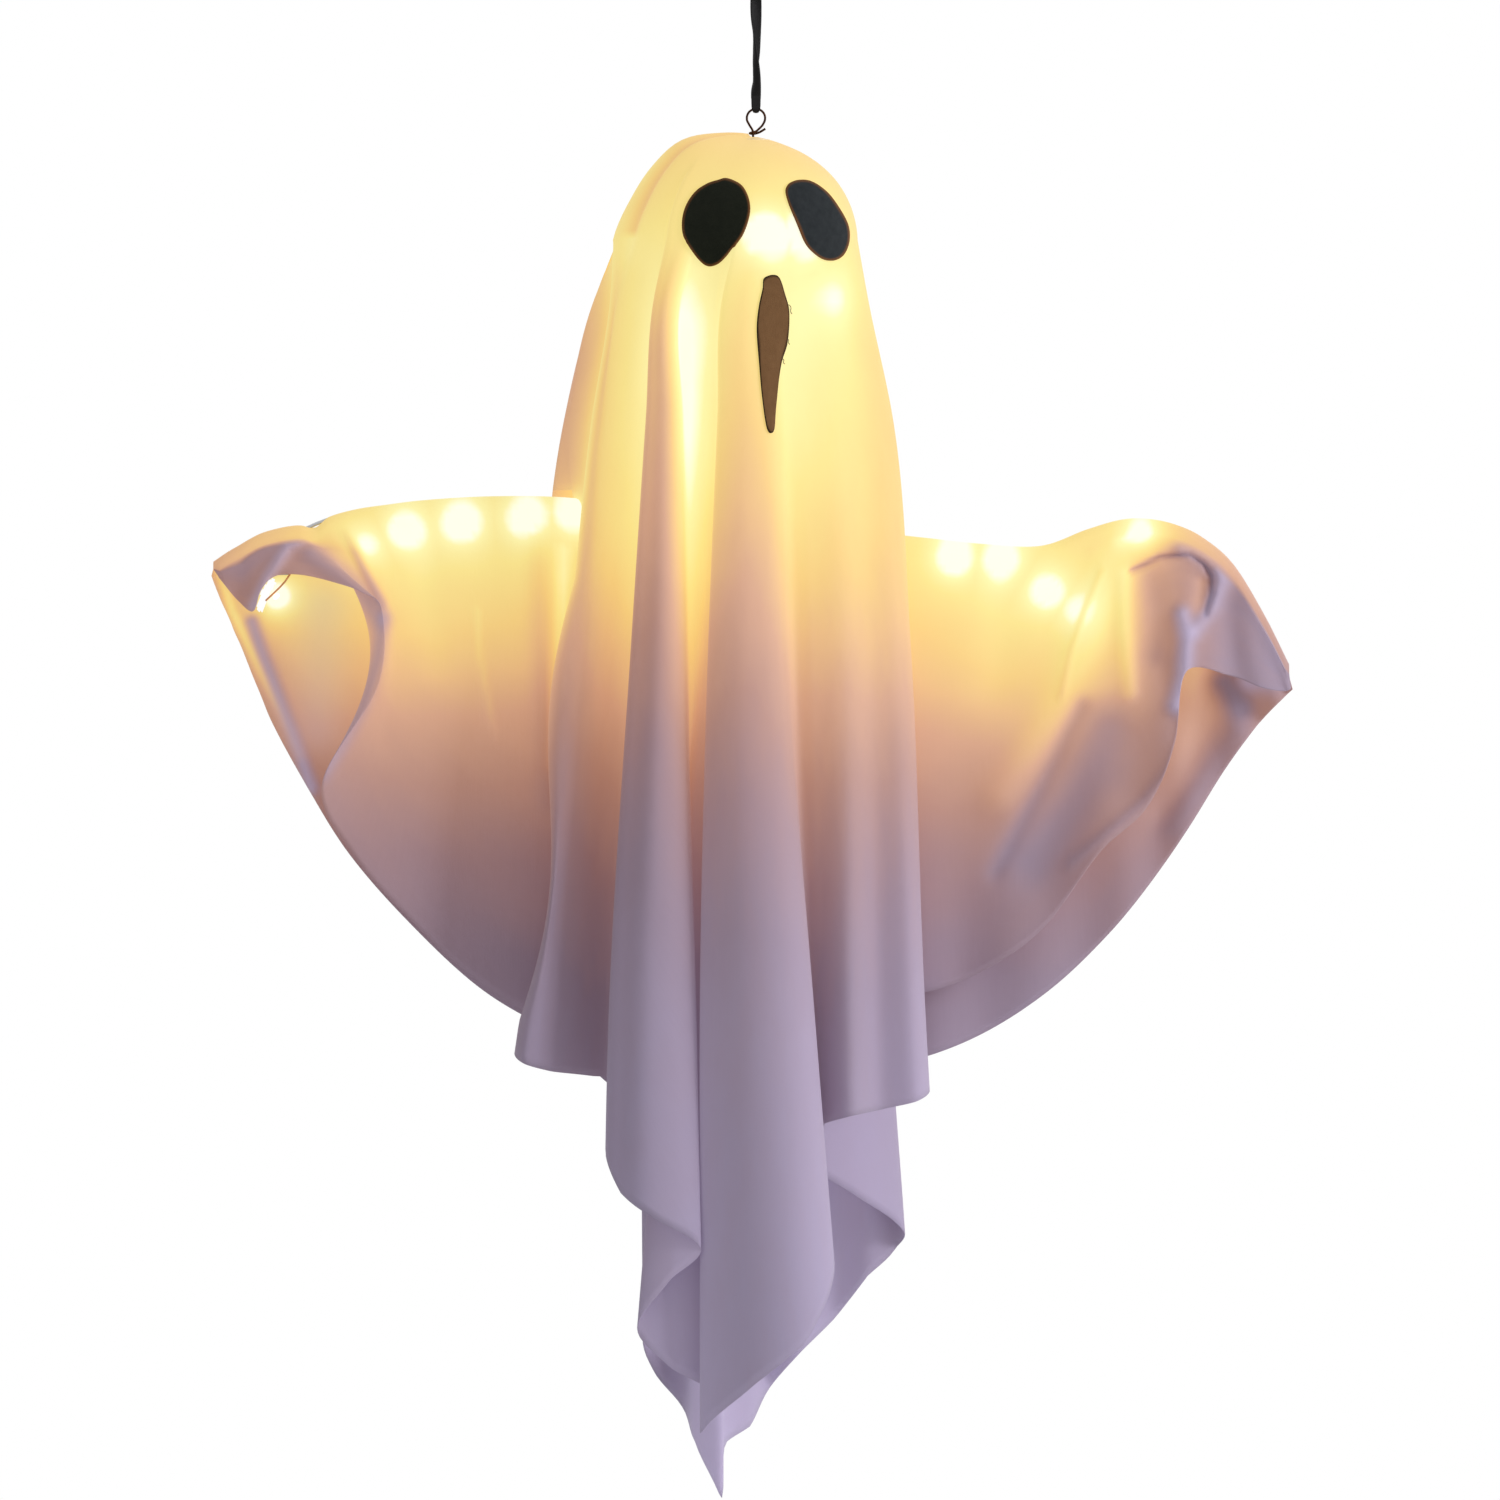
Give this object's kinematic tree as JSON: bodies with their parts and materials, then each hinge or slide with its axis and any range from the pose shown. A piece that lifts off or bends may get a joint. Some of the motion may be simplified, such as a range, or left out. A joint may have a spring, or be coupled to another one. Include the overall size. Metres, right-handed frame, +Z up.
{
  "type": "hanging fabric ghost decoration",
  "caption": "White cloth ghost draped over a ball head and spread arms, felt face, warm lights inside, hung from a ribbon.",
  "frame": {"origin": "inside top of the hanging loop, where a hook carries it", "axes": "+Z up, the face looks along -Y, +X is the viewer's right"},
  "size_m": [0.5625, 0.1544, 0.8122],
  "materials": {
    "ribbon": "black satin ribbon",
    "bronze_wire": "bronze-brown drawn wire, semi-gloss",
    "foam": "pressed white foam, matt",
    "glue": "hot-melt glue, satin",
    "steel": "galvanised, satin",
    "binding_tape": "wound cloth tape",
    "ghost_cloth": "thin plain-weave polyester, matt, translucent",
    "eye_felt": "dark felt with a fine brown rim",
    "mouth_felt": "brown felt, light shows through",
    "copper_wire": "varnished copper wire",
    "lamp": "clear resin bead over a warm white chip",
    "case_plastic": "moulded, fine texture",
    "dark_plastic": "moulded, satin"
  },
  "bodies": {
    "hanger": {"hanging_loop": "ribbon", "ribbon_knot": "ribbon"},
    "upper_ribbon": {"ribbon_upper": "ribbon"},
    "lower_ribbon": {"ribbon_lower": "ribbon", "ribbon_bight": "ribbon"},
    "ghost": {"hanger_wire": "bronze_wire", "head_ball": "foam", "crown_pad": "glue", "ball_crimp": "steel", "arm_binding": "binding_tape", "shroud": "ghost_cloth", "left_eye": "eye_felt", "right_eye": "eye_felt", "mouth": "mouth_felt", "light_wire_head": "copper_wire", "light_wire_spine": "copper_wire", "light_lead_left": "copper_wire", "light_lead_right": "copper_wire", "led_head_1": "lamp", "led_head_2": "lamp", "led_head_3": "lamp", "led_head_4": "lamp", "led_head_5": "lamp", "led_head_6": "lamp", "led_spine_1": "lamp", "led_spine_2": "lamp", "led_spine_3": "lamp", "battery_case": "case_plastic", "coin_cell_lower": "steel", "coin_cell_upper": "steel", "contact_plate": "steel", "contact_clip": "steel", "case_tie": "dark_plastic"},
    "left_arm": {"left_arm_wire": "steel", "left_wing": "ghost_cloth", "light_wire_left": "copper_wire", "led_left_1": "lamp", "led_left_2": "lamp", "led_left_3": "lamp", "led_left_4": "lamp", "led_left_5": "lamp", "led_left_6": "lamp"},
    "right_arm": {"right_arm_wire": "steel", "right_wing": "ghost_cloth", "light_wire_right": "copper_wire", "led_right_1": "lamp", "led_right_2": "lamp", "led_right_3": "lamp", "led_right_4": "lamp", "led_right_5": "lamp"},
    "cover": {"battery_cover": "case_plastic"},
    "switch": {"switch_slider": "dark_plastic"}
  },
  "joints": [
    {"name": "ribbon_swing", "type": "hinge", "parent": "hanger", "child": "upper_ribbon", "pos_m": [0, 0, -0.0286], "axis": [1, 0, 0], "range_deg": [-35, 35]},
    {"name": "ribbon_twist", "type": "hinge", "parent": "upper_ribbon", "child": "lower_ribbon", "pos_m": [0, 0, -0.061], "axis": [0, 0, 1], "range_deg": [-180, 180]},
    {"name": "eye_rock", "type": "hinge", "parent": "lower_ribbon", "child": "ghost", "pos_m": [0, 0, -0.09], "axis": [0, 1, 0], "range_deg": [-30, 30]},
    {"name": "left_arm_bend", "type": "hinge", "parent": "ghost", "child": "left_arm", "pos_m": [-0.0108, 0, -0.2982], "axis": [0, 1, 0], "range_deg": [-12, 12]},
    {"name": "right_arm_bend", "type": "hinge", "parent": "ghost", "child": "right_arm", "pos_m": [0.0078, 0, -0.2998], "axis": [0, 1, 0], "range_deg": [-12, 12]},
    {"name": "cover_slide", "type": "slide", "parent": "ghost", "child": "cover", "axis": [0, 0, -1], "range_m": [0, 0.03]},
    {"name": "switch_slide", "type": "slide", "parent": "ghost", "child": "switch", "axis": [1, 0, 0], "range_m": [0, 0.003]}
  ]
}
